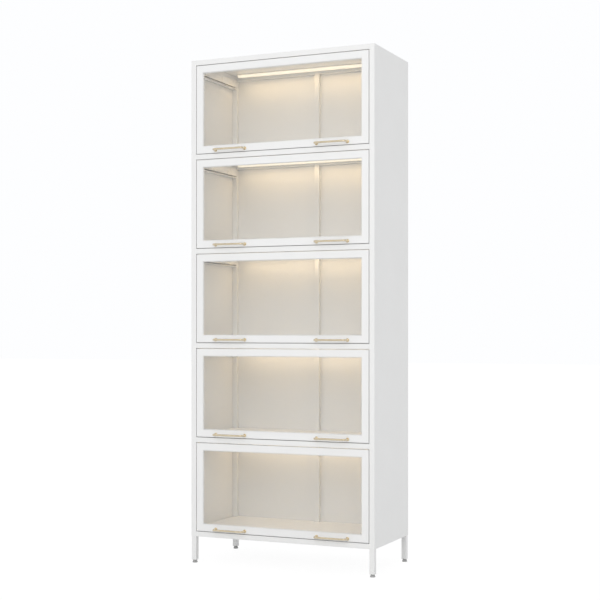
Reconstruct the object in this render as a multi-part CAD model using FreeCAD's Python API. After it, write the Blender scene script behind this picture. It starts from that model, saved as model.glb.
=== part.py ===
import FreeCAD, Part
import os

# Glazed steel bookcase of five stacked tiers, each with a lift-up, push-back door.
# Millimetres. X runs across the front, +Y points to the back, +Z up from the floor.
# The origin is on the floor, at the middle of the overall width and depth.

# Driving dimensions
WIDTH = 780.0
DEPTH = 380.0
HEIGHT = 2000.0
TIERS = 5
TIER_PITCH = 375.0
TUBE = 20.0
TUBE_WALL = 1.5
TUBE_ROUND = 1.5
SKIN = 1.0
SCREW_HEAD = 1.5

# Doors
DOOR_GAP = 2.5
DOOR_THICK = 16.0
DOOR_FACE = 28.0
DOOR_WALL = 1.2
DOOR_ROUND = 1.0
GLASS = 4.0
GLASS_RECESS = 5.0
GASKET_FACE = 2.5
GASKET_LIP = 1.5

# Pull handles
HANDLE_REACH = 30.0
HANDLE_ROD = 3.9
HANDLE_BEND = 9.0
HANDLE_SPACING = 128.0
HANDLE_CENTRE = 217.0
HANDLE_RISE = 11.0
ROSETTE_RADIUS = 7.0
ROSETTE_THICK = 2.0
HANDLE_SCREW = 2.0
HANDLE_HOLE = 2.05
HANDLE_HOLE_DEPTH = 11.0
HANDLE_SCREW_GRIP = 8.0
HANDLE_SCREW_HEAD = 4.0
HANDLE_HEAD_THICK = 2.4

# Door pivots and the tracks that they slide back in
PIVOT_DROP = 27.0
PIN_RADIUS = 2.0
PIN_HOLE = 2.05
PIN_DEPTH = 16.0
BEARING_HALF = 8.0
ROLLER_RADIUS = 3.5
ROLLER_LENGTH = 8.0
ROLLER_ROOM = 4.0
ROLLER_GAP = 1.0
TRACK_DEPTH = 18.0
TRACK_WALL = 1.5
TRACK_CELL = 7.6
SLOT = 4.6

# Shelves, back and light bars
SHELF_SHEET = 1.2
SHELF_FLANGE = 15.0
BOARD = 12.0
BOARD_GAP = 1.0
CENTRE_POST = 20.0
BACK_SEAM = 0.5
LIGHT_WIDTH = 15.0
LIGHT_BODY = 4.0
LIGHT_LENS = 10.0
LIGHT_WALL = 1.0
LENS_WALL = 1.5
LENS_SIDE = 2.0
LENS_ROUND = 4.0
LIGHT_LENGTH = 680.0
LIGHT_FROM_BACK = 55.0
LIGHT_CAP = 2.0
STRIP_WIDTH = 10.0
STRIP_THICK = 1.5

# Levelling feet
FOOT_RADIUS = 10.0
FOOT_NECK = 7.0
FOOT_RIM = 3.0
FOOT_CONE = 7.0
FOOT_GAP = 1.0
STUD_RADIUS = 3.95
STUD_HOLE = 4.0
STUD_TOP = 34.0
INSERT_FLANGE = 2.0
INSERT_PLUG = 25.0

# Back panel screws
SCREW_RADIUS = 1.9
SCREW_HOLE = 1.95
SCREW_HEAD_RADIUS = 3.5
SCREW_LENGTH = 8.0
SCREW_PLACES = (30.0, 195.0, 355.0)

# How far a cutter passes the face it cuts, the smallest length that counts,
# and the share of a screw head's thickness that is rounded
CUT = 1.0
TINY = 0.001
HEAD_ROUND = 0.6

# Places worked out from the driving dimensions
FRONT = HANDLE_REACH - (DEPTH + HANDLE_REACH) / 2
BACK = FRONT + DEPTH
FRAME_BACK = BACK - SCREW_HEAD - SKIN
SIDE = WIDTH / 2 - SKIN
INNER = SIDE - TUBE
BASE = HEIGHT - TUBE - TIERS * TIER_PITCH
FRONT_INNER = FRONT + TUBE
BACK_INNER = FRAME_BACK - TUBE
OPENING = TIER_PITCH - TUBE
DOOR_HALF = INNER - DOOR_GAP
DOOR_BACK = FRONT + DOOR_THICK
PIVOT_Y = FRONT + DOOR_THICK / 2
TRACK_HEIGHT = DOOR_GAP + PIVOT_DROP + TRACK_CELL / 2 + TRACK_WALL
LEG_END = FOOT_RIM + FOOT_CONE + FOOT_GAP + INSERT_FLANGE

X_AXIS = FreeCAD.Vector(1, 0, 0)
Y_AXIS = FreeCAD.Vector(0, 1, 0)
Z_AXIS = FreeCAD.Vector(0, 0, 1)


def tier_bottom(tier):
    """Height of the shelf under a tier; tier 1 is the lowest."""
    return BASE + TUBE + (tier - 1) * TIER_PITCH


def tier_top(tier):
    """Underside of the rail over a tier."""
    return tier_bottom(tier) + OPENING


def pivot_height(tier):
    return tier_top(tier) - DOOR_GAP - PIVOT_DROP


def save(node, solids):
    Part.makeCompound(solids).exportStep("parts/" + node + ".step")


def block(x, y, z):
    """A box between (low, high) pairs."""
    size = (x[1] - x[0], y[1] - y[0], z[1] - z[0])
    return Part.makeBox(size[0], size[1], size[2], FreeCAD.Vector(x[0], y[0], z[0]))


def rod(radius, length, start, direction):
    return Part.makeCylinder(radius, length, start, direction)


def rounded(x, y, z, direction, radius):
    """A box whose edges along one direction are rounded."""
    solid = block(x, y, z)
    long_edges = []
    for edge in solid.Edges:
        line = edge.Vertexes[1].Point - edge.Vertexes[0].Point
        if line.cross(direction).Length < TINY:
            long_edges.append(edge)
    return solid.makeFillet(radius, long_edges)


def inset(span, by):
    return (span[0] + by, span[1] - by)


def tube_x(x, y, z):
    """A square tube along X, open at both ends."""
    bore = block(inset(x, -CUT), inset(y, TUBE_WALL), inset(z, TUBE_WALL))
    return rounded(x, y, z, X_AXIS, TUBE_ROUND).cut(bore)


def tube_y(x, y, z):
    """A square tube along Y, open at both ends."""
    bore = block(inset(x, TUBE_WALL), inset(y, -CUT), inset(z, TUBE_WALL))
    return rounded(x, y, z, Y_AXIS, TUBE_ROUND).cut(bore)


def mirrored(solid):
    return solid.mirror(FreeCAD.Vector(0, 0, 0), X_AXIS)


def both_sides(solid):
    return [mirrored(solid), solid]


def make_post(at_front):
    """A right-hand corner post with its leg; a front post is slotted for the door pivots."""
    x = (INNER, SIDE)
    y = (FRONT, FRONT_INNER) if at_front else (BACK_INNER, FRAME_BACK)
    post = rounded(x, y, (LEG_END, HEIGHT), Z_AXIS, TUBE_ROUND)
    bore = block(inset(x, TUBE_WALL), inset(y, TUBE_WALL), (LEG_END - CUT, HEIGHT - TUBE_WALL))
    post = post.cut(bore)
    if at_front:
        for tier in range(1, TIERS + 1):
            post = post.cut(pivot_slot(pivot_height(tier)))
    return post


def pivot_slot(height):
    """The slot for a door pin, with the wider window that its roller leaves the post by."""
    pin_side = (INNER - CUT, INNER + TUBE_WALL + CUT)
    slot = block(pin_side, (PIVOT_Y, FRONT_INNER + CUT), (height - SLOT / 2, height + SLOT / 2))
    start = FreeCAD.Vector(pin_side[0], PIVOT_Y, height)
    slot = slot.fuse(rod(SLOT / 2, pin_side[1] - pin_side[0], start, X_AXIS))
    window_x = (INNER + TUBE_WALL, INNER + TUBE_WALL + ROLLER_LENGTH + ROLLER_ROOM)
    window_y = (FRONT_INNER - TUBE_WALL - CUT, FRONT_INNER + CUT)
    window_z = (height - TRACK_CELL / 2, height + TRACK_CELL / 2)
    return slot.fuse(block(window_x, window_y, window_z))


def make_posts():
    for name, at_front in (("front", True), ("rear", False)):
        post = make_post(at_front)
        save(name + "_post_right", [post])
        save(name + "_post_left", [mirrored(post)])


def make_rails():
    front = []
    rear = []
    side = []
    for level in range(TIERS + 1):
        low = BASE + level * TIER_PITCH
        z = (low, low + TUBE)
        front.append(tube_x((-INNER, INNER), (FRONT, FRONT_INNER), z))
        rail = tube_x((-INNER, INNER), (BACK_INNER, FRAME_BACK), z)
        for screw_x in screw_columns():
            start = FreeCAD.Vector(screw_x, FRAME_BACK - SCREW_LENGTH, low + TUBE / 2)
            rail = rail.cut(rod(SCREW_HOLE, SCREW_LENGTH + CUT, start, Y_AXIS))
        rear.append(rail)
        side += both_sides(tube_y((INNER, SIDE), (FRONT_INNER, BACK_INNER), z))
    save("front_rails", front)
    save("rear_rails", rear)
    save("side_rails", side)


def make_centre_posts():
    half = CENTRE_POST / 2
    posts = []
    for tier in range(1, TIERS + 1):
        x = (-half, half)
        y = (FRAME_BACK - CENTRE_POST, FRAME_BACK)
        z = (tier_bottom(tier), tier_top(tier))
        bore = block(inset(x, TUBE_WALL), inset(y, TUBE_WALL), inset(z, -CUT))
        posts.append(rounded(x, y, z, Z_AXIS, TUBE_ROUND).cut(bore))
    save("back_centre_posts", posts)


def make_side_panels():
    panel = block((SIDE, SIDE + SKIN), (FRONT, FRAME_BACK + SKIN), (BASE, HEIGHT))
    save("side_panel_right", [panel])
    save("side_panel_left", [mirrored(panel)])


def screw_columns():
    return [side * place for side in (-1, 1) for place in SCREW_PLACES]


def make_back_panels():
    """Two sheets that meet behind the centre post, and the screws that hold them."""
    panel = block((BACK_SEAM / 2, SIDE), (FRAME_BACK, FRAME_BACK + SKIN), (BASE, HEIGHT))
    screws = []
    for level in range(TIERS + 1):
        height = BASE + level * TIER_PITCH + TUBE / 2
        for place in SCREW_PLACES:
            start = FreeCAD.Vector(place, FRAME_BACK - CUT, height)
            panel = panel.cut(rod(SCREW_HOLE, SKIN + 2 * CUT, start, Y_AXIS))
        for screw_x in screw_columns():
            screws.append(make_back_screw(screw_x, height))
    save("back_panel_right", [panel])
    save("back_panel_left", [mirrored(panel)])
    save("back_panel_screws", screws)


def make_back_screw(x, height):
    seat = FRAME_BACK + SKIN
    shank = rod(SCREW_RADIUS, SCREW_LENGTH, FreeCAD.Vector(x, seat - SCREW_LENGTH, height), Y_AXIS)
    head = rod(SCREW_HEAD_RADIUS, SCREW_HEAD, FreeCAD.Vector(x, seat, height), Y_AXIS)
    rim = [edge for edge in head.Edges if edge.BoundBox.YMin > seat + SCREW_HEAD / 2]
    return shank.fuse(head.makeFillet(SCREW_HEAD * HEAD_ROUND, rim)).removeSplitter()


def make_shelf(level):
    """A sheet flush with the tops of the rails, folded down along its four edges."""
    top = BASE + level * TIER_PITCH + TUBE
    x = (-INNER, INNER)
    y = (FRONT_INNER, BACK_INNER)
    tray = block(x, y, (top - SHELF_FLANGE, top))
    hollow_z = (top - SHELF_FLANGE - CUT, top - SHELF_SHEET)
    return tray.cut(block(inset(x, SHELF_SHEET), inset(y, SHELF_SHEET), hollow_z))


def make_shelves():
    save("bottom_panel", [make_shelf(0)])
    for level in range(1, TIERS):
        save("shelf_%d" % level, [make_shelf(level)])
    save("top_panel", [make_shelf(TIERS)])


def make_boards():
    """A board on the rails of each tier, notched round the rear posts and the centre post."""
    x = (BOARD_GAP - SIDE, SIDE - BOARD_GAP)
    y = (FRONT_INNER + BOARD_GAP / 2, FRAME_BACK - BOARD_GAP / 2)
    centre_x = (-CENTRE_POST / 2 - BOARD_GAP, CENTRE_POST / 2 + BOARD_GAP)
    centre_y = (FRAME_BACK - CENTRE_POST - BOARD_GAP, FRAME_BACK)
    boards = []
    for tier in range(1, TIERS + 1):
        z = (tier_bottom(tier), tier_bottom(tier) + BOARD)
        corner = block((INNER - BOARD_GAP, SIDE), (BACK_INNER - BOARD_GAP, FRAME_BACK), inset(z, -CUT))
        centre = block(centre_x, centre_y, inset(z, -CUT))
        boards.append(block(x, y, z).cut(corner).cut(mirrored(corner)).cut(centre))
    save("shelf_boards", boards)


def make_tracks():
    """Two-cell channels under the side rails; the door rollers run in the lower cell."""
    tracks = []
    for tier in range(1, TIERS + 1):
        top = tier_top(tier)
        height = pivot_height(tier)
        x = (INNER, INNER + TRACK_DEPTH)
        y = (FRONT_INNER, BACK_INNER)
        cell_z = (height - TRACK_CELL / 2, height + TRACK_CELL / 2)
        track = block(x, y, (top - TRACK_HEIGHT, top))
        track = track.cut(block(inset(x, TRACK_WALL), inset(y, -CUT), cell_z))
        upper_z = (cell_z[1] + TRACK_WALL, top - TRACK_WALL)
        track = track.cut(block(inset(x, TRACK_WALL), inset(y, -CUT), upper_z))
        slot_x = (INNER - CUT, INNER + TRACK_WALL + CUT)
        slot = block(slot_x, inset(y, -CUT), (height - SLOT / 2, height + SLOT / 2))
        tracks += both_sides(track.cut(slot))
    save("door_tracks", tracks)


def lens_profile(x, y, low, high):
    """The outline of a light bar between two heights, rounded along its lower edges."""
    solid = block(x, y, (low, high))
    lower = []
    for edge in solid.Edges:
        along = (edge.Vertexes[1].Point - edge.Vertexes[0].Point).cross(X_AXIS).Length < TINY
        if along and edge.BoundBox.ZMax < low + LENS_ROUND / 2:
            lower.append(edge)
    return solid.makeFillet(LENS_ROUND, lower)


def make_lights():
    """A slim light bar under the sheet over each tier, near the back."""
    bodies = []
    strips = []
    lenses = []
    caps = []
    half = LIGHT_LENGTH / 2 - LIGHT_CAP
    x = (-half, half)
    back = FRAME_BACK - LIGHT_FROM_BACK
    y = (back - LIGHT_WIDTH, back)
    strip_y = inset(y, (LIGHT_WIDTH - STRIP_WIDTH) / 2)
    for tier in range(1, TIERS + 1):
        ceiling = tier_top(tier) + TUBE - SHELF_SHEET
        seam = ceiling - LIGHT_BODY
        low = seam - LIGHT_LENS
        strip_top = ceiling - LIGHT_WALL
        body = block(x, y, (seam, ceiling))
        bodies.append(body.cut(block(inset(x, -CUT), inset(y, LIGHT_WALL), (seam - CUT, strip_top))))
        strips.append(block(inset(x, LIGHT_CAP), strip_y, (strip_top - STRIP_THICK, strip_top)))
        lens = lens_profile(x, y, low, seam)
        lenses.append(lens.cut(block(inset(x, -CUT), inset(y, LENS_SIDE), (low + LENS_WALL, seam + CUT))))
        caps += both_sides(lens_profile((half, half + LIGHT_CAP), y, low, ceiling))
    save("light_housings", bodies)
    save("light_strips", strips)
    save("light_lenses", lenses)
    save("light_end_caps", caps)


def make_feet():
    """A threaded insert in each leg, and a levelling foot on a stud."""
    inserts = []
    rows = (("front", FRONT + TUBE / 2), ("rear", FRAME_BACK - TUBE / 2))
    for row, y in rows:
        for side, x in (("left", -SIDE + TUBE / 2), ("right", SIDE - TUBE / 2)):
            inserts.append(make_insert(x, y))
            save("foot_%s_%s" % (row, side), [make_foot(x, y)])
    save("leg_inserts", inserts)


def make_insert(x, y):
    half = TUBE / 2
    core = half - TUBE_WALL
    flange_z = (LEG_END - INSERT_FLANGE, LEG_END)
    flange = rounded((x - half, x + half), (y - half, y + half), flange_z, Z_AXIS, TUBE_ROUND)
    plug = block((x - core, x + core), (y - core, y + core), (LEG_END, LEG_END + INSERT_PLUG))
    hole = rod(STUD_HOLE, LEG_END + INSERT_PLUG + CUT, FreeCAD.Vector(x, y, 0), Z_AXIS)
    return flange.fuse(plug).removeSplitter().cut(hole)


def make_foot(x, y):
    rim = rod(FOOT_RADIUS, FOOT_RIM, FreeCAD.Vector(x, y, 0), Z_AXIS)
    cone = Part.makeCone(FOOT_RADIUS, FOOT_NECK, FOOT_CONE, FreeCAD.Vector(x, y, FOOT_RIM), Z_AXIS)
    stud = rod(STUD_RADIUS, STUD_TOP - FOOT_RIM, FreeCAD.Vector(x, y, FOOT_RIM), Z_AXIS)
    return rim.fuse([cone, stud]).removeSplitter()


def frame_member(x, z, direction, outline):
    """One mitred side of a door frame: a flat tube cut to a four-cornered outline."""
    y = (FRONT, DOOR_BACK)
    bar = rounded(x, y, z, direction, DOOR_ROUND)
    hollow_x = inset(x, -CUT) if direction == X_AXIS else inset(x, DOOR_WALL)
    hollow_z = inset(z, DOOR_WALL) if direction == X_AXIS else inset(z, -CUT)
    bar = bar.cut(block(hollow_x, inset(y, DOOR_WALL), hollow_z))
    corners = [FreeCAD.Vector(corner[0], FRONT, corner[1]) for corner in outline]
    face = Part.Face(Part.makePolygon(corners + corners[:1]))
    return bar.common(face.extrude(Y_AXIS * DOOR_THICK))


def make_door_frame(tier):
    low = tier_bottom(tier) + DOOR_GAP
    high = tier_top(tier) - DOOR_GAP
    half = DOOR_HALF
    face = DOOR_FACE
    bottom_outline = [(-half, low), (half, low), (half - face, low + face), (face - half, low + face)]
    top_outline = [(-half, high), (half, high), (half - face, high - face), (face - half, high - face)]
    side_outline = [(half, low), (half, high), (half - face, high - face), (half - face, low + face)]
    bottom = frame_member((-half, half), (low, low + face), X_AXIS, bottom_outline)
    for handle_x in handle_feet():
        start = FreeCAD.Vector(handle_x, FRONT - CUT, low + HANDLE_RISE)
        bottom = bottom.cut(rod(HANDLE_HOLE, DOOR_THICK + 2 * CUT, start, Y_AXIS))
    top = frame_member((-half, half), (high - face, high), X_AXIS, top_outline)
    stile = frame_member((half - face, half), (low, high), Z_AXIS, side_outline)
    pivot = pivot_height(tier)
    bearing_x = (half - DOOR_WALL - PIN_DEPTH, half - DOOR_WALL)
    bearing_z = (pivot - BEARING_HALF, pivot + BEARING_HALF)
    bearing = block(bearing_x, inset((FRONT, DOOR_BACK), DOOR_WALL), bearing_z)
    stile = stile.fuse(bearing).removeSplitter()
    bore = rod(PIN_HOLE, PIN_DEPTH, FreeCAD.Vector(half - PIN_DEPTH, PIVOT_Y, pivot), X_AXIS)
    stile = stile.cut(bore)
    save("door_%d_frame" % tier, [bottom, top] + both_sides(stile))


def make_glazing(tier):
    """The pane, and the gasket that grips its edges inside the frame."""
    low = tier_bottom(tier) + DOOR_GAP + DOOR_FACE
    high = tier_top(tier) - DOOR_GAP - DOOR_FACE
    half = DOOR_HALF - DOOR_FACE
    pane_y = (FRONT + GLASS_RECESS, FRONT + GLASS_RECESS + GLASS)
    x = (-half, half)
    z = (low, high)
    pane = block(inset(x, GASKET_LIP), pane_y, inset(z, GASKET_LIP))
    gasket_y = inset(pane_y, -GASKET_LIP)
    ring = block(x, gasket_y, z)
    sight = block(inset(x, GASKET_FACE), inset(gasket_y, -CUT), inset(z, GASKET_FACE))
    save("door_%d_glass" % tier, [pane])
    save("door_%d_gasket" % tier, [ring.cut(sight).cut(pane)])


def handle_feet():
    places = []
    for side in (-1, 1):
        for end in (-1, 1):
            places.append(side * HANDLE_CENTRE + end * HANDLE_SPACING / 2)
    return places


def make_handle_leg(x, height, towards):
    """A round leg with its rosette, bent through a quarter turn into the bar."""
    bar_y = FRONT - HANDLE_REACH + HANDLE_ROD
    bend_y = bar_y + HANDLE_BEND
    rosette = rod(ROSETTE_RADIUS, ROSETTE_THICK, FreeCAD.Vector(x, FRONT - ROSETTE_THICK, height), Y_AXIS)
    leg = rod(HANDLE_ROD, FRONT - bend_y, FreeCAD.Vector(x, bend_y, height), Y_AXIS)
    circle = Part.Wire(Part.makeCircle(HANDLE_ROD, FreeCAD.Vector(x, bend_y, height), Y_AXIS))
    centre = FreeCAD.Vector(x + towards * HANDLE_BEND, bend_y, height)
    elbow = Part.Face(circle).revolve(centre, Z_AXIS, 90 * towards)
    solid = leg.fuse([rosette, Part.Solid(elbow) if elbow.ShapeType == "Shell" else elbow])
    start = FreeCAD.Vector(x, FRONT - HANDLE_HOLE_DEPTH, height)
    hole = rod(HANDLE_HOLE, HANDLE_HOLE_DEPTH + CUT, start, Y_AXIS)
    return solid.removeSplitter().cut(hole)


def make_handles(tier):
    """Two pulls on the bottom rail of a door, and the screws behind them."""
    height = tier_bottom(tier) + DOOR_GAP + HANDLE_RISE
    bar_y = FRONT - HANDLE_REACH + HANDLE_ROD
    pulls = []
    screws = []
    for side in (-1, 1):
        left = side * HANDLE_CENTRE - HANDLE_SPACING / 2
        right = side * HANDLE_CENTRE + HANDLE_SPACING / 2
        pulls.append(make_handle_leg(left, height, 1))
        pulls.append(make_handle_leg(right, height, -1))
        start = FreeCAD.Vector(left + HANDLE_BEND, bar_y, height)
        pulls.append(rod(HANDLE_ROD, HANDLE_SPACING - 2 * HANDLE_BEND, start, X_AXIS))
    for x in handle_feet():
        start = FreeCAD.Vector(x, FRONT - HANDLE_SCREW_GRIP, height)
        shank = rod(HANDLE_SCREW, DOOR_THICK + HANDLE_SCREW_GRIP, start, Y_AXIS)
        head = rod(HANDLE_SCREW_HEAD, HANDLE_HEAD_THICK, FreeCAD.Vector(x, DOOR_BACK, height), Y_AXIS)
        rim = [edge for edge in head.Edges if edge.BoundBox.YMin > DOOR_BACK + HANDLE_HEAD_THICK / 2]
        screws.append(shank.fuse(head.makeFillet(HANDLE_HEAD_THICK * HEAD_ROUND, rim)).removeSplitter())
    save("door_%d_handles" % tier, pulls)
    save("door_%d_handle_screws" % tier, screws)


def make_rollers(tier):
    """The two pivot pins of a door, each with the roller that runs in its track."""
    pivot = pivot_height(tier)
    roller_x = INNER + TUBE_WALL + ROLLER_GAP
    pin_x = DOOR_HALF - PIN_DEPTH + ROLLER_GAP
    pin = rod(PIN_RADIUS, roller_x - pin_x, FreeCAD.Vector(pin_x, PIVOT_Y, pivot), X_AXIS)
    roller = rod(ROLLER_RADIUS, ROLLER_LENGTH, FreeCAD.Vector(roller_x, PIVOT_Y, pivot), X_AXIS)
    save("door_%d_rollers" % tier, both_sides(pin.fuse(roller).removeSplitter()))


def make_doors():
    for tier in range(1, TIERS + 1):
        make_door_frame(tier)
        make_glazing(tier)
        make_handles(tier)
        make_rollers(tier)


def main():
    os.makedirs("parts", exist_ok=True)
    make_posts()
    make_rails()
    make_centre_posts()
    make_side_panels()
    make_back_panels()
    make_shelves()
    make_boards()
    make_tracks()
    make_lights()
    make_feet()
    make_doors()


main()
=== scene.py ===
import math

import bpy
from mathutils import Matrix, Vector


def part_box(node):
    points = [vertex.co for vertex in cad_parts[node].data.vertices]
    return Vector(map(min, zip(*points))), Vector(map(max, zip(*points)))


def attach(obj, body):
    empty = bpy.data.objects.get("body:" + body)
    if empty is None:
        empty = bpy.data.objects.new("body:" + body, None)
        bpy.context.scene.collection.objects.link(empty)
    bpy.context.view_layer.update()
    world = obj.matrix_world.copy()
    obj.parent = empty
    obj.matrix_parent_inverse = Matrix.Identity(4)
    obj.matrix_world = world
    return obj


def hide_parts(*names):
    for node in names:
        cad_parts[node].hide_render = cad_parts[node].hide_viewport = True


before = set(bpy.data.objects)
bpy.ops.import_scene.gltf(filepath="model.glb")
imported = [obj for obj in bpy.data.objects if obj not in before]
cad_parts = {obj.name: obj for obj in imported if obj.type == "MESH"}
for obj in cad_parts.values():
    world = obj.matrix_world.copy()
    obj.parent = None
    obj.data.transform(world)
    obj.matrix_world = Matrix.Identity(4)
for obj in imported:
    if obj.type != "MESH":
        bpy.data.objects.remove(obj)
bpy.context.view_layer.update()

# Sizes in metres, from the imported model
TIERS = 5
rail_low, rail_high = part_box("front_rails")
TUBE = rail_high.y - rail_low.y
PITCH = (rail_high.z - rail_low.z - TUBE) / TIERS
UP = Vector((0, 0, PITCH))
MM = 0.001
LEVEL = 1e-6    # places nearer to each other than this count as level


# ---------------------------------------------------------------- modelling by hand

def let_go():
    bpy.ops.object.select_all(action="DESELECT")


def take_hold(piece):
    """Make a piece the only one selected, and the active one."""
    let_go()
    piece.select_set(True)
    bpy.context.view_layer.objects.active = piece


def settle(name):
    """Name the new primitive and put its place into its mesh."""
    piece = bpy.context.active_object
    piece.name = name
    piece.data.name = name
    take_hold(piece)
    bpy.ops.object.transform_apply(location=True, rotation=True, scale=True)
    return piece


def block(name, low, high):
    let_go()
    low, high = Vector(low), Vector(high)
    bpy.ops.mesh.primitive_cube_add(size=1.0, location=(low + high) / 2)
    bpy.context.active_object.scale = high - low
    return settle(name)


def drum(name, centre, radius, depth, direction="Z", sides=32):
    let_go()
    turn = {"X": (0, math.pi / 2, 0), "Y": (math.pi / 2, 0, 0), "Z": (0, 0, 0)}[direction]
    bpy.ops.mesh.primitive_cylinder_add(
        vertices=sides, radius=radius, depth=depth, location=centre, rotation=turn)
    return settle(name)


def pick_edges(piece, wanted):
    """Select the edges whose two end points pass a test, and go into edit mode."""
    take_hold(piece)
    bpy.ops.object.mode_set(mode="EDIT")
    bpy.ops.mesh.select_mode(type="EDGE")
    bpy.ops.mesh.select_all(action="DESELECT")
    bpy.ops.object.mode_set(mode="OBJECT")
    points = piece.data.vertices
    for edge in piece.data.edges:
        edge.select = wanted(points[edge.vertices[0]].co, points[edge.vertices[1]].co)
    bpy.ops.object.mode_set(mode="EDIT")


def pick_faces(piece, wanted):
    """Select the faces whose centre and normal pass a test, and go into edit mode."""
    take_hold(piece)
    bpy.ops.object.mode_set(mode="EDIT")
    bpy.ops.mesh.select_mode(type="FACE")
    bpy.ops.mesh.select_all(action="DESELECT")
    bpy.ops.object.mode_set(mode="OBJECT")
    for face in piece.data.polygons:
        face.select = wanted(face.center, face.normal)
    bpy.ops.object.mode_set(mode="EDIT")


def leave_edit():
    bpy.ops.object.mode_set(mode="OBJECT")


def round_edges(piece, width, segments=3, wanted=lambda a, b: True):
    pick_edges(piece, wanted)
    bpy.ops.mesh.bevel(offset=width, segments=segments, affect="EDGES", profile=0.5)
    leave_edit()
    return piece


def smooth(piece, angle=35):
    """Smooth the rounded edges and keep the wide faces flat."""
    take_hold(piece)
    bpy.ops.object.shade_smooth_by_angle(angle=math.radians(angle))
    return apply_modifier(piece, "WEIGHTED_NORMAL", keep_sharp=True, weight=100)


def apply_modifier(piece, kind, **settings):
    take_hold(piece)
    modifier = piece.modifiers.new(kind.title(), kind)
    for key, value in settings.items():
        setattr(modifier, key, value)
    bpy.ops.object.modifier_apply(modifier=modifier.name)
    return piece


def carve(piece, cutter):
    apply_modifier(piece, "BOOLEAN", operation="DIFFERENCE", object=cutter, solver="EXACT")
    bpy.data.objects.remove(cutter)
    return piece


def copied(piece, name, shift=(0, 0, 0), mirror=False):
    """A copy with a mesh of its own, moved, or mirrored left to right."""
    twin = bpy.data.objects.new(name, piece.data.copy())
    bpy.context.scene.collection.objects.link(twin)
    twin.data.name = name
    if mirror:
        twin.data.transform(Matrix.Scale(-1, 4, (1, 0, 0)))
        twin.data.flip_normals()
    twin.data.transform(Matrix.Translation(shift))
    return twin


def joined(name, pieces):
    let_go()
    for piece in pieces:
        piece.select_set(True)
    bpy.context.view_layer.objects.active = pieces[0]
    if len(pieces) > 1:
        bpy.ops.object.join()
    pieces[0].name = name
    pieces[0].data.name = name
    return pieces[0]


def stacked(name, piece, count):
    """The piece and its copies one tier above another, as one piece."""
    row = [piece] + [copied(piece, name, UP * step) for step in range(1, count)]
    return joined(name, row)


def finish_piece(piece, body, material, slot, *nodes):
    """Give a piece its finish and its body, and hide the CAD nodes that it stands for."""
    piece.data.materials.clear()
    piece.data.materials.append(material)
    if material is not pane_glass:
        smooth(piece)
    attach(piece, body)
    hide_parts(*nodes)
    return piece


def finish_stack(piece, count, material, slot, node):
    """Repeat a cabinet piece one tier above another, and finish the stack as one piece."""
    finish_piece(stacked(piece.name, piece, count), "cabinet", material, slot, node)


# ---------------------------------------------------------------- finishes

def new_material(name):
    material = bpy.data.materials.new(name)
    material.use_nodes = True
    tree = material.node_tree
    return material, tree, tree.nodes["Principled BSDF"]


def noise(tree, scale, detail=2.0, stretch=(1, 1, 1)):
    """A noise on the piece's own coordinates; its output runs from 0 to 1."""
    where = tree.nodes.new("ShaderNodeTexCoord")
    mapping = tree.nodes.new("ShaderNodeMapping")
    mapping.inputs["Scale"].default_value = stretch
    texture = tree.nodes.new("ShaderNodeTexNoise")
    texture.inputs["Scale"].default_value = scale
    texture.inputs["Detail"].default_value = detail
    tree.links.new(where.outputs["Object"], mapping.inputs["Vector"])
    tree.links.new(mapping.outputs["Vector"], texture.inputs["Vector"])
    return texture.outputs["Fac"]


def spread(tree, source, low, high):
    """Map a noise's middle range to low and high."""
    ranged = tree.nodes.new("ShaderNodeMapRange")
    ranged.inputs["From Min"].default_value = 0.3
    ranged.inputs["From Max"].default_value = 0.7
    ranged.inputs["To Min"].default_value = low
    ranged.inputs["To Max"].default_value = high
    tree.links.new(source, ranged.inputs["Value"])
    return ranged.outputs["Result"]


def tint(tree, source, dark, light):
    blend = tree.nodes.new("ShaderNodeMix")
    blend.data_type = "RGBA"
    blend.inputs["A"].default_value = (*dark, 1)
    blend.inputs["B"].default_value = (*light, 1)
    tree.links.new(source, blend.inputs["Factor"])
    return blend.outputs["Result"]


def bump(tree, shader, source, depth, strength=1.0):
    node = tree.nodes.new("ShaderNodeBump")
    node.inputs["Strength"].default_value = strength
    node.inputs["Distance"].default_value = depth
    tree.links.new(source, node.inputs["Height"])
    tree.links.new(node.outputs["Normal"], shader.inputs["Normal"])


def powder_coat(name, white, gloss=0.42):
    """Baked powder paint: a fine orange peel, and a roughness that wanders a little."""
    material, tree, shader = new_material(name)
    dark = tuple(0.985 * c for c in white)
    tree.links.new(tint(tree, spread(tree, noise(tree, 6), 0, 1), dark, white), shader.inputs["Base Color"])
    tree.links.new(spread(tree, noise(tree, 45), gloss - 0.04, gloss + 0.05), shader.inputs["Roughness"])
    bump(tree, shader, noise(tree, 520, 1.5), 0.05 * MM, 0.5)
    shader.inputs["Specular IOR Level"].default_value = 0.45
    return material


def laminate(name, dark, light):
    """A smooth melamine face with a faint, long-drawn grain pressed into it."""
    material, tree, shader = new_material(name)
    grain = noise(tree, 60, 4, (0.08, 1, 1))
    tree.links.new(tint(tree, spread(tree, grain, 0, 1), dark, light), shader.inputs["Base Color"])
    tree.links.new(spread(tree, grain, 0.36, 0.46), shader.inputs["Roughness"])
    bump(tree, shader, grain, 0.04 * MM, 0.4)
    return material


def brushed_metal(name, dark, light, gloss, stretch, metallic=1.0):
    """Metal with fine lines drawn out along one direction."""
    material, tree, shader = new_material(name)
    lines = noise(tree, 900, 3, stretch)
    tree.links.new(tint(tree, spread(tree, lines, 0, 1), dark, light), shader.inputs["Base Color"])
    tree.links.new(spread(tree, lines, gloss - 0.06, gloss + 0.08), shader.inputs["Roughness"])
    bump(tree, shader, lines, 0.02 * MM, 0.4)
    shader.inputs["Metallic"].default_value = metallic
    return material


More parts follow.
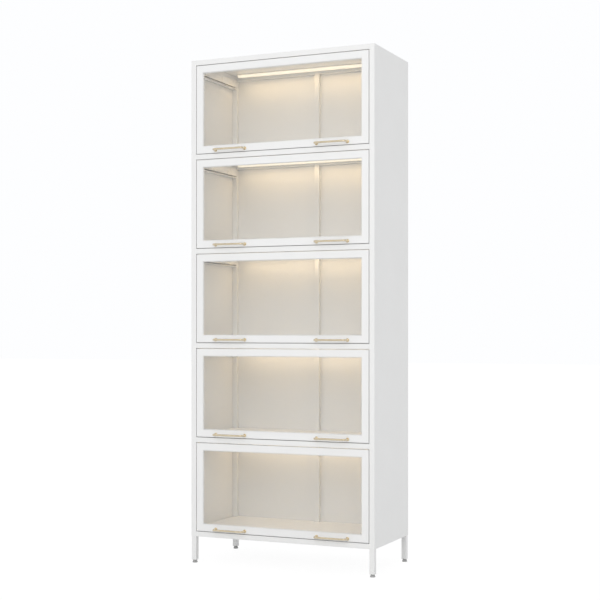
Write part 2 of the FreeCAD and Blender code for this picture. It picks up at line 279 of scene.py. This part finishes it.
def moulded(name, dark, light, gloss, grain=600, depth=0.04 * MM):
    """Moulded plastic or rubber with a fine grain."""
    material, tree, shader = new_material(name)
    tree.links.new(tint(tree, spread(tree, noise(tree, 30), 0, 1), dark, light), shader.inputs["Base Color"])
    tree.links.new(spread(tree, noise(tree, 80), gloss - 0.05, gloss + 0.05), shader.inputs["Roughness"])
    bump(tree, shader, noise(tree, grain, 2), depth, 0.5)
    return material


def clear_glass(name):
    """Float glass that lets lamp light through, with the faint waviness of a real pane."""
    material, tree, shader = new_material(name)
    shader.inputs["Base Color"].default_value = (0.995, 0.997, 0.995, 1)
    shader.inputs["Roughness"].default_value = 0.0
    shader.inputs["IOR"].default_value = 1.45
    shader.inputs["Transmission Weight"].default_value = 1.0
    bump(tree, shader, noise(tree, 9, 1), 0.01 * MM, 0.3)
    path = tree.nodes.new("ShaderNodeLightPath")
    either = tree.nodes.new("ShaderNodeMath")
    either.operation = "MAXIMUM"
    tree.links.new(path.outputs["Is Shadow Ray"], either.inputs[0])
    tree.links.new(path.outputs["Is Diffuse Ray"], either.inputs[1])
    open_way = tree.nodes.new("ShaderNodeBsdfTransparent")
    open_way.inputs["Color"].default_value = (0.98, 0.982, 0.98, 1)
    mixer = tree.nodes.new("ShaderNodeMixShader")
    tree.links.new(either.outputs[0], mixer.inputs["Fac"])
    tree.links.new(shader.outputs["BSDF"], mixer.inputs[1])
    tree.links.new(open_way.outputs["BSDF"], mixer.inputs[2])
    tree.links.new(mixer.outputs["Shader"], tree.nodes["Material Output"].inputs["Surface"])
    return material


def glowing_lens(name, warm, strength):
    """A milky lens lit from inside, a little brighter over each diode."""
    material, tree, shader = new_material(name)
    spots = tree.nodes.new("ShaderNodeTexWave")
    spots.wave_profile = "SIN"
    spots.inputs["Scale"].default_value = 9.5
    spots.inputs["Distortion"].default_value = 0.0
    where = tree.nodes.new("ShaderNodeTexCoord")
    tree.links.new(where.outputs["Object"], spots.inputs["Vector"])
    pulse = spread(tree, spots.outputs["Fac"], 0.92 * strength, strength)
    tree.links.new(pulse, shader.inputs["Emission Strength"])
    shader.inputs["Base Color"].default_value = (0.9, 0.88, 0.82, 1)
    shader.inputs["Emission Color"].default_value = (*warm, 1)
    shader.inputs["Roughness"].default_value = 0.5
    return material


white_steel = powder_coat("white_powder_steel", (0.84, 0.84, 0.832))
white_sheet = powder_coat("white_powder_sheet", (0.84, 0.84, 0.832), 0.46)
white_door = powder_coat("white_powder_door", (0.85, 0.85, 0.845), 0.40)
white_track = powder_coat("white_powder_track", (0.84, 0.84, 0.832), 0.30)
white_board = laminate("white_laminate", (0.87, 0.87, 0.87), (0.89, 0.89, 0.89))
pane_glass = clear_glass("pane_glass")
pale_gasket = moulded("pale_gasket_rubber", (0.76, 0.76, 0.75), (0.82, 0.82, 0.81), 0.55)
brass = brushed_metal("brushed_brass", (0.66, 0.56, 0.40), (0.80, 0.70, 0.52), 0.24, (0.04, 1, 1))
zinc = brushed_metal("zinc_screw", (0.52, 0.52, 0.53), (0.66, 0.66, 0.67), 0.35, (1, 1, 1))
nylon = moulded("roller_nylon", (0.74, 0.74, 0.71), (0.80, 0.80, 0.77), 0.45)
housing_metal = powder_coat("light_housing_white", (0.84, 0.83, 0.80), 0.38)
cap_plastic = moulded("light_cap_plastic", (0.70, 0.69, 0.66), (0.76, 0.75, 0.72), 0.5)
strip_board = moulded("light_strip_board", (0.78, 0.76, 0.68), (0.84, 0.82, 0.74), 0.5)
warm_lens = glowing_lens("warm_lens", (1.0, 0.86, 0.62), 0.60)
foot_rubber = moulded("foot_rubber", (0.34, 0.34, 0.337), (0.42, 0.42, 0.416), 0.5)
insert_plastic = moulded("insert_plastic", (0.74, 0.74, 0.72), (0.80, 0.80, 0.78), 0.5)


# ---------------------------------------------------------------- the steel frame

EDGE = 0.6 * MM
REAR_CORNER = 1.5 * MM


def along(axis, a, b):
    """True for an edge that runs along one axis."""
    return abs((b - a).normalized()[axis]) > 0.99


def square_bar(name, low, high):
    return round_edges(block(name, low, high), EDGE, 3)


def one_of(node, tall):
    """The lowest of a stack of like solids in a node."""
    low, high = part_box(node)
    return low, Vector((high.x, high.y, low.z + tall))


def lowest_of(node):
    """The box of the lowest of a node's like solids, where it has one in each tier."""
    low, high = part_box(node)
    return low, Vector((high.x, high.y, high.z - (TIERS - 1) * PITCH))


def make_posts():
    for row in ("front", "rear"):
        node = row + "_post_right"
        post = block(node + "_tube", *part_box(node))
        if row == "front":
            post = carve(post, make_slots())
        corner = EDGE if row == "front" else REAR_CORNER
        round_edges(post, corner, 3, lambda a, b: along(2, a, b) and (b - a).length > 0.5)
        twin = copied(post, row + "_post_left_tube", mirror=True)
        finish_piece(post, "cabinet", white_steel, "white_frame", node)
        finish_piece(twin, "cabinet", white_steel, "white_frame", row + "_post_left")


def make_slots():
    """Cutters for the door pins' slots in a front post."""
    low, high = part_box("front_post_right")
    pin_low, pin_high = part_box("door_1_rollers")
    centre = (pin_low + pin_high) / 2
    reach = 2.3 * MM
    past = 5 * MM
    deep = 12 * MM
    slot_low = (low.x - past, centre.y - reach, centre.z - reach)
    slot = block("slot", slot_low, (low.x + deep, high.y + past, centre.z + reach))
    round_edges(slot, reach * 0.98, 6, lambda a, b: along(0, a, b) and a.y < centre.y)
    return stacked("slots", slot, TIERS)


def make_rails():
    for node in ("front_rails", "rear_rails"):
        bar = square_bar(node + "_tubes", *one_of(node, TUBE))
        finish_stack(bar, TIERS + 1, white_steel, "white_frame", node)
    low, high = one_of("side_rails", TUBE)
    bar = square_bar("side_rails_tubes", (high.x - TUBE, low.y, low.z), high)
    pair = joined("side_rails_tubes", [bar, copied(bar, "left", mirror=True)])
    finish_stack(pair, TIERS + 1, white_steel, "white_frame", "side_rails")
    bar = square_bar("back_centre_post_tubes", *one_of("back_centre_posts", PITCH - TUBE))
    finish_stack(bar, TIERS, white_steel, "white_frame", "back_centre_posts")


# ---------------------------------------------------------------- sheet metal

def make_shelf():
    """A tray of folded sheet, open below, with bent corners along its top."""
    sheet_thick = 1.2 * MM
    bend = 1.6 * MM
    tray = block("bottom_panel_tray", *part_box("bottom_panel"))
    top = tray.bound_box[1][2]
    pick_faces(tray, lambda centre, normal: normal.z < -0.9)
    bpy.ops.mesh.delete(type="FACE")
    leave_edit()
    round_edges(tray, bend, 4, lambda a, b: not along(2, a, b) and min(a.z, b.z) > top - EDGE)
    return apply_modifier(tray, "SOLIDIFY", thickness=sheet_thick, offset=-1.0, use_even_offset=True)


def make_shelves():
    tray = make_shelf()
    names = ["shelf_%d" % level for level in range(1, TIERS)] + ["top_panel"]
    for step, name in enumerate(names):
        twin = copied(tray, name + "_tray", UP * (step + 1))
        finish_piece(twin, "cabinet", white_sheet, "white_sheet", name)
    finish_piece(tray, "cabinet", white_sheet, "white_sheet", "bottom_panel")


def make_boards():
    """The floor boards of the tiers, notched round the rear posts and the centre post."""
    gap = 1 * MM
    corner = 0.8 * MM
    low, high = lowest_of("shelf_boards")
    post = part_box("rear_post_right")[0]
    centre_low, centre_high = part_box("back_centre_posts")
    board = block("shelf_boards_panels", low, high)
    below = low.z - gap
    above = high.z + gap
    for side in (-1, 1):
        inner, outer = sorted((side * (post.x - gap), side * (high.x + gap)))
        carve(board, block("notch", (inner, post.y - gap, below), (outer, high.y + gap, above)))
    notch_low = (centre_low.x - gap, centre_low.y - gap, below)
    carve(board, block("notch", notch_low, (centre_high.x + gap, high.y + gap, above)))
    round_edges(board, corner, 3, lambda a, b: abs(a.z - b.z) < LEVEL)
    finish_stack(board, TIERS, white_board, "white_board", "shelf_boards")


def make_skins():
    corner = 0.3 * MM
    for kind in ("side_panel", "back_panel"):
        sheet = round_edges(block(kind + "_right_sheet", *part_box(kind + "_right")), corner, 2)
        twin = copied(sheet, kind + "_left_sheet", mirror=True)
        finish_piece(sheet, "cabinet", white_sheet, "white_sheet", kind + "_right")
        finish_piece(twin, "cabinet", white_sheet, "white_sheet", kind + "_left")


def make_screw(name, seat, radius, thick, shank_radius, shank_length):
    """A pan-head screw with a cross recess, its head standing out towards +Y."""
    head = drum(name, seat + Vector((0, thick / 2, 0)), radius, thick, "Y", 24)
    rim = seat.y + thick * 0.9
    round_edges(head, thick * 0.62, 4, lambda a, b: a.y > rim and b.y > rim)
    arm = radius * 0.62
    slot = radius * 0.13
    for x, z in ((arm, slot), (slot, arm)):
        low = seat + Vector((-x, thick * 0.4, -z))
        high = seat + Vector((x, thick * 2, z))
        carve(head, block("recess", low, high))
    shank = drum("shank", seat - Vector((0, shank_length / 2, 0)), shank_radius, shank_length, "Y", 12)
    return joined(name, [head, shank])


def make_back_screws():
    low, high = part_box("back_panel_screws")
    radius = 3.5 * MM
    thick = 1.5 * MM
    shank_radius = 1.9 * MM
    shank_length = 8 * MM
    seat = Vector((0, high.y - thick, low.z + radius))
    screw = make_screw("back_panel_screw_heads", seat, radius, thick, shank_radius, shank_length)
    reach = high.x - radius
    places = (30 * MM, 195 * MM, reach)
    row = [copied(screw, "row", (side * place, 0, 0)) for place in places for side in (-1, 1)]
    bpy.data.objects.remove(screw)
    one = joined("back_panel_screw_heads", row)
    finish_stack(one, TIERS + 1, zinc, "screw_steel", "back_panel_screws")


# ---------------------------------------------------------------- light bars

LENS_ROUND = 3.9 * MM


def make_lenses():
    low, high = lowest_of("light_lenses")
    lens = block("light_lens_covers", low, high)
    bottom = low.z + EDGE
    round_edges(lens, LENS_ROUND, 8, lambda a, b: along(0, a, b) and a.z < bottom)
    finish_stack(lens, TIERS, warm_lens, "light_lens", "light_lenses")


def make_housings():
    """Channels with a shallow groove along the front and the back."""
    border = 1 * MM
    groove = 0.4 * MM
    corner = 0.25 * MM
    body = block("light_housing_channels", *lowest_of("light_housings"))
    pick_faces(body, lambda centre, normal: abs(normal.y) > 0.9)
    bpy.ops.mesh.inset(thickness=border, depth=-groove, use_individual=True)
    leave_edit()
    round_edges(body, corner, 2, lambda a, b: along(0, a, b))
    finish_stack(body, TIERS, housing_metal, "light_housing", "light_housings")


def make_end_caps():
    thick = 2 * MM
    corner = 0.5 * MM
    low, high = lowest_of("light_end_caps")
    cap = block("light_end_cap_pairs", (high.x - thick, low.y, low.z), high)
    bottom = low.z + EDGE
    round_edges(cap, LENS_ROUND, 6, lambda a, b: along(0, a, b) and a.z < bottom)
    outer = high.x - EDGE / 10
    round_edges(cap, corner, 2, lambda a, b: a.x > outer and b.x > outer)
    pair = joined("light_end_cap_pairs", [cap, copied(cap, "left", mirror=True)])
    finish_stack(pair, TIERS, cap_plastic, "light_end_cap", "light_end_caps")


# ---------------------------------------------------------------- levelling feet

def make_foot():
    """A rubber-shod cone with a short length of its stud."""
    rim = 3 * MM
    rim_round = 0.6 * MM
    ledge = 0.4 * MM
    cone = 6 * MM
    taper = 0.78
    crown = 1 * MM
    shoulder = 2.5 * MM
    neck = 8 * MM
    low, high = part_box("foot_front_right")
    centre = (low + high) / 2
    radius = (high.x - low.x) / 2
    foot = drum("foot", (centre.x, centre.y, low.z + rim / 2), radius, rim, "Z", 48)
    top = low.z + rim * 0.9
    pick_faces(foot, lambda middle, normal: normal.z > 0.9)
    bpy.ops.mesh.inset(thickness=ledge, depth=0)
    bpy.ops.mesh.extrude_region_move(TRANSFORM_OT_translate={"value": (0, 0, cone)})
    bpy.ops.transform.resize(value=(taper, taper, 1))
    bpy.ops.mesh.inset(thickness=crown, depth=crown)
    bpy.ops.mesh.inset(thickness=shoulder, depth=0)
    bpy.ops.mesh.extrude_region_move(TRANSFORM_OT_translate={"value": (0, 0, neck)})
    leave_edit()
    outer = radius * 0.97

    def on_rim(a, b):
        level = abs(a.z - b.z) < EDGE / 100 and a.z < top + MM
        return level and min((a.xy - centre.xy).length, (b.xy - centre.xy).length) > outer
    return round_edges(foot, rim_round, 3, on_rim)


def make_feet():
    right = make_foot()
    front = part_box("foot_front_right")
    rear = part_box("foot_rear_right")
    back = Vector((0, rear[0].y - front[0].y, 0))
    for row, shift in (("front", Vector()), ("rear", back)):
        for side, mirror in (("right", False), ("left", True)):
            node = "foot_%s_%s" % (row, side)
            finish_piece(copied(right, node + "_leveller", shift, mirror), node, foot_rubber, "foot", node)
    bpy.data.objects.remove(right)
    low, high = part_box("leg_inserts")
    flange = 2 * MM
    corner = 0.5 * MM
    plate = block("leg_insert_plates", (high.x - TUBE, low.y, low.z), (high.x, low.y + TUBE, low.z + flange))
    round_edges(plate, corner, 2)
    pair = joined("leg_insert_plates", [plate, copied(plate, "left", mirror=True)])
    both = joined("leg_insert_plates", [pair, copied(pair, "rear", back)])
    finish_piece(both, "cabinet", insert_plastic, "leg_insert", "leg_inserts")


# ---------------------------------------------------------------- doors

FRAME_FACE = 28 * MM
FRAME_ROUND = 1 * MM
GASKET_FACE = 2.5 * MM
GASKET_ROUND = 0.8 * MM
PANE_ROUND = 0.5 * MM
PULL_HEIGHT = 11 * MM
PULL_SPACING = 128 * MM
PULL_ROD = 3.9 * MM
PULL_BEND = 9 * MM
ROSETTE = 7 * MM
ROSETTE_THICK = 2 * MM
ROSETTE_ROUND = 0.9 * MM
SCREW_HEAD = 4 * MM
SCREW_HEAD_THICK = 2.4 * MM
SCREW_SHANK = 2 * MM
SCREW_LENGTH = 24 * MM
ROLLER_WIDE = 8 * MM
ROLLER_ROUND = 0.5 * MM
PIN = 2 * MM
PIN_INSIDE = 15 * MM


def ring(name, low, high, width):
    """A four-sided mitred ring facing -Y, as thick as its box."""
    let_go()
    middle = (low + high) / 2
    place = (middle.x, low.y, middle.z)
    bpy.ops.mesh.primitive_plane_add(size=1.0, location=place, rotation=(math.pi / 2, 0, 0))
    bpy.context.active_object.scale = (high.x - low.x, high.z - low.z, 1)
    piece = settle(name)
    pick_faces(piece, lambda centre, normal: True)
    bpy.ops.mesh.inset(thickness=width, depth=0)
    bpy.ops.mesh.delete(type="FACE")
    leave_edit()
    return apply_modifier(piece, "SOLIDIFY", thickness=high.y - low.y, offset=-1.0)


def rim_edge(a, b):
    """True for the long edges of a ring, and not for its mitres."""
    return abs(a.y - b.y) < LEVEL and (along(0, a, b) or along(2, a, b))


def make_pull(name, ends, height, face, proud):
    """A rod bent down to the door at both ends, on two round rosettes."""
    left, right = ends
    bend = PULL_BEND
    leg = proud - PULL_ROD - bend
    let_go()
    bpy.ops.mesh.primitive_circle_add(
        vertices=24, radius=PULL_ROD, fill_type="NGON",
        location=(left, face, height), rotation=(math.pi / 2, 0, 0))
    pull = settle(name)
    take_hold(pull)
    bpy.ops.object.mode_set(mode="EDIT")
    bpy.ops.mesh.select_mode(type="FACE")
    bpy.ops.mesh.select_all(action="SELECT")
    bpy.ops.mesh.extrude_region_move(TRANSFORM_OT_translate={"value": (0, -leg, 0)})
    bpy.ops.mesh.spin(steps=8, angle=math.pi / 2, center=(left + bend, face - leg, height), axis=(0, 0, -1))
    bpy.ops.mesh.extrude_region_move(TRANSFORM_OT_translate={"value": (right - left - 2 * bend, 0, 0)})
    bpy.ops.mesh.spin(steps=8, angle=math.pi / 2, center=(right - bend, face - leg, height), axis=(0, 0, -1))
    bpy.ops.mesh.extrude_region_move(TRANSFORM_OT_translate={"value": (0, leg, 0)})
    bpy.ops.mesh.select_all(action="SELECT")
    bpy.ops.mesh.remove_doubles(threshold=0.00001)
    bpy.ops.mesh.normals_make_consistent(inside=False)
    leave_edit()
    rosettes = []
    for x in (left, right):
        disc = drum("rosette", (x, face - ROSETTE_THICK / 2, height), ROSETTE, ROSETTE_THICK, "Y", 32)
        front = face - ROSETTE_THICK * 0.9
        round_edges(disc, ROSETTE_ROUND, 3, lambda a, b: a.y < front and b.y < front)
        rosettes.append(disc)
    return joined(name, [pull] + rosettes)


def make_first_door():
    """All the pieces of the lowest door, as (piece, body part, material, slot, node ending)."""
    low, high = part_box("door_1_frame")
    steel = round_edges(ring("frame", low, high, FRAME_FACE), FRAME_ROUND, 3, rim_edge)
    gasket_low, gasket_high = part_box("door_1_gasket")
    gasket = ring("gasket", gasket_low, gasket_high, GASKET_FACE)
    round_edges(gasket, GASKET_ROUND, 3, rim_edge)
    pane = round_edges(block("glass", *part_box("door_1_glass")), PANE_ROUND, 2)
    height = low.z + PULL_HEIGHT
    pulls_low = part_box("door_1_handles")[0]
    left = pulls_low.x + ROSETTE
    proud = low.y - pulls_low.y
    right_pull = make_pull("pulls", (-left - PULL_SPACING, -left), height, low.y, proud)
    pulls = joined("pulls", [right_pull, copied(right_pull, "left", mirror=True)])
    screws = []
    for x in (left, left + PULL_SPACING, -left - PULL_SPACING, -left):
        seat = Vector((x, high.y, height))
        screws.append(make_screw(
            "screw", seat, SCREW_HEAD, SCREW_HEAD_THICK, SCREW_SHANK, SCREW_LENGTH))
    screw_set = joined("handle_screws", screws)
    return [
        (steel, "door_%d", white_door, "white_door", "frame"),
        (gasket, "door_%d", pale_gasket, "gasket", "gasket"),
        (pane, "door_%d", pane_glass, "glass", "glass"),
        (pulls, "door_%d", brass, "handle_brass", "handles"),
        (screw_set, "door_%d", zinc, "screw_steel", "handle_screws"),
        (make_rollers(), "door_%d_carrier", nylon, "roller_nylon", "rollers"),
    ]


def make_rollers():
    """A pivot pin and its roller at each side."""
    low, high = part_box("door_1_rollers")
    centre = (low + high) / 2
    radius = (high.z - low.z) / 2
    roller_middle = (high.x - ROLLER_WIDE / 2, centre.y, centre.z)
    roller = drum("roller", roller_middle, radius, ROLLER_WIDE, "X", 32)
    round_edges(roller, ROLLER_ROUND, 2, lambda a, b: abs(a.x - b.x) < LEVEL)
    pin_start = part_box("door_1_frame")[1].x - PIN_INSIDE
    pin_end = high.x - ROLLER_WIDE
    pin_middle = ((pin_start + pin_end) / 2, centre.y, centre.z)
    pin = drum("pin", pin_middle, PIN, pin_end - pin_start, "X", 24)
    side = joined("rollers", [roller, pin])
    return joined("rollers", [side, copied(side, "left", mirror=True)])


def make_doors():
    for piece, body, material, slot, ending in make_first_door():
        for tier in range(2, TIERS + 1):
            name = "door_%d_%s_piece" % (tier, ending)
            twin = copied(piece, name, UP * (tier - 1))
            finish_piece(twin, body % tier, material, slot, "door_%d_%s" % (tier, ending))
        piece.name = "door_1_%s_piece" % ending
        finish_piece(piece, body % 1, material, slot, "door_1_" + ending)


# ---------------------------------------------------------------- studio

def make_camera():
    turn = math.radians(24.16)
    camera = bpy.data.objects.new("camera", bpy.data.cameras.new("camera"))
    bpy.context.scene.collection.objects.link(camera)
    camera.data.sensor_width = 36.0
    camera.data.lens = 76.8
    camera.data.shift_y = 0.0512
    camera.data.clip_end = 60
    camera.location = (2.095, -4.657, 0.924)
    camera.rotation_euler = (math.pi / 2, 0, turn)
    bpy.context.scene.camera = camera


def make_world():
    """Even soft white all round; a ray straight from the camera sees full white."""
    world = bpy.data.worlds.new("studio")
    bpy.context.scene.world = world
    world.use_nodes = True
    tree = world.node_tree
    background = tree.nodes["Background"]
    where = tree.nodes.new("ShaderNodeTexCoord")
    parts = tree.nodes.new("ShaderNodeSeparateXYZ")
    tree.links.new(where.outputs["Generated"], parts.inputs[0])
    dimmer = tree.nodes.new("ShaderNodeMapRange")
    dimmer.inputs["From Min"].default_value = -1.0
    dimmer.inputs["From Max"].default_value = 1.0
    dimmer.inputs["To Min"].default_value = 0.93
    dimmer.inputs["To Max"].default_value = 0.82
    tree.links.new(parts.outputs["X"], dimmer.inputs["Value"])
    path = tree.nodes.new("ShaderNodeLightPath")
    seen = tree.nodes.new("ShaderNodeMix")
    seen.data_type = "FLOAT"
    seen.inputs["B"].default_value = 1.0
    tree.links.new(dimmer.outputs["Result"], seen.inputs["A"])
    tree.links.new(path.outputs["Is Camera Ray"], seen.inputs["Factor"])
    background.inputs["Color"].default_value = (0.985, 0.99, 1, 1)
    tree.links.new(seen.outputs["Result"], background.inputs["Strength"])


def make_floor():
    """A white floor that glows evenly where it is looked at and is lit like paper elsewhere."""
    let_go()
    bpy.ops.mesh.primitive_plane_add(size=60.0, location=(0, 0, 0))
    floor = settle("studio_floor")
    material, tree, shader = new_material("studio_floor_white")
    shader.inputs["Base Color"].default_value = (0.88, 0.88, 0.88, 1)
    shader.inputs["Roughness"].default_value = 0.9
    shader.inputs["Specular IOR Level"].default_value = 0.1
    path = tree.nodes.new("ShaderNodeLightPath")
    share = tree.nodes.new("ShaderNodeMath")
    share.operation = "MULTIPLY"
    share.inputs[1].default_value = 0.88
    tree.links.new(path.outputs["Is Camera Ray"], share.inputs[0])
    glow = tree.nodes.new("ShaderNodeEmission")
    glow.inputs["Strength"].default_value = 1.05
    mixer = tree.nodes.new("ShaderNodeMixShader")
    tree.links.new(share.outputs[0], mixer.inputs["Fac"])
    tree.links.new(shader.outputs["BSDF"], mixer.inputs[1])
    tree.links.new(glow.outputs["Emission"], mixer.inputs[2])
    tree.links.new(mixer.outputs["Shader"], tree.nodes["Material Output"].inputs["Surface"])
    floor.data.materials.append(material)


def add_lamp(name, place, towards, size, power, colour):
    lamp = bpy.data.objects.new(name, bpy.data.lights.new(name, "AREA"))
    bpy.context.scene.collection.objects.link(lamp)
    lamp.data.shape = "RECTANGLE"
    lamp.data.size, lamp.data.size_y = size
    lamp.data.energy = power
    lamp.data.color = colour
    lamp.location = place
    lamp.rotation_euler = Vector(towards).to_track_quat("-Z", "Y").to_euler()
    lamp.visible_camera = False
    lamp.visible_transmission = False
    return lamp


def make_tier_lamps():
    """Warm light from each light bar, down past the back and out over the ceiling."""
    low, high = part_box("light_lenses")
    middle = (low + high) / 2
    wide = high.x - low.x
    gap = 1 * MM
    rise = 5 * MM
    down_size = (wide, 12 * MM)
    out_size = (wide, 6 * MM)
    down_watts = 0.33
    out_watts = 0.022
    warm = (1.0, 0.74, 0.42)
    for tier in range(TIERS):
        lift = tier * PITCH
        under = (0, middle.y, low.z - gap + lift)
        before = (0, low.y - gap, low.z + rise + lift)
        add_lamp("tier_lamp_down_%d" % (tier + 1), under, (0, 0, -1), down_size, down_watts, warm)
        add_lamp("tier_lamp_out_%d" % (tier + 1), before, (0, -1, 0), out_size, out_watts, warm)


def make_soft_box():
    """A wide soft light, high in front."""
    place = Vector((1.3, -5.0, 3.2))
    aim = Vector((0, 0, 1.1))
    size = (2.6, 2.6)
    watts = 60
    add_lamp("soft_box", place, aim - place, size, watts, (1.0, 0.995, 0.98))


make_posts()
make_rails()
make_shelves()
make_boards()
make_skins()
make_back_screws()
make_lenses()
make_housings()
make_end_caps()
make_feet()
make_doors()
for node, material in (("door_tracks", white_track), ("light_strips", strip_board)):
    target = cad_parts[node]
    target.data.materials.clear()
    target.data.materials.append(material)
make_camera()
make_world()
make_floor()
make_tier_lamps()
make_soft_box()
bpy.context.scene.view_settings.view_transform = "Standard"
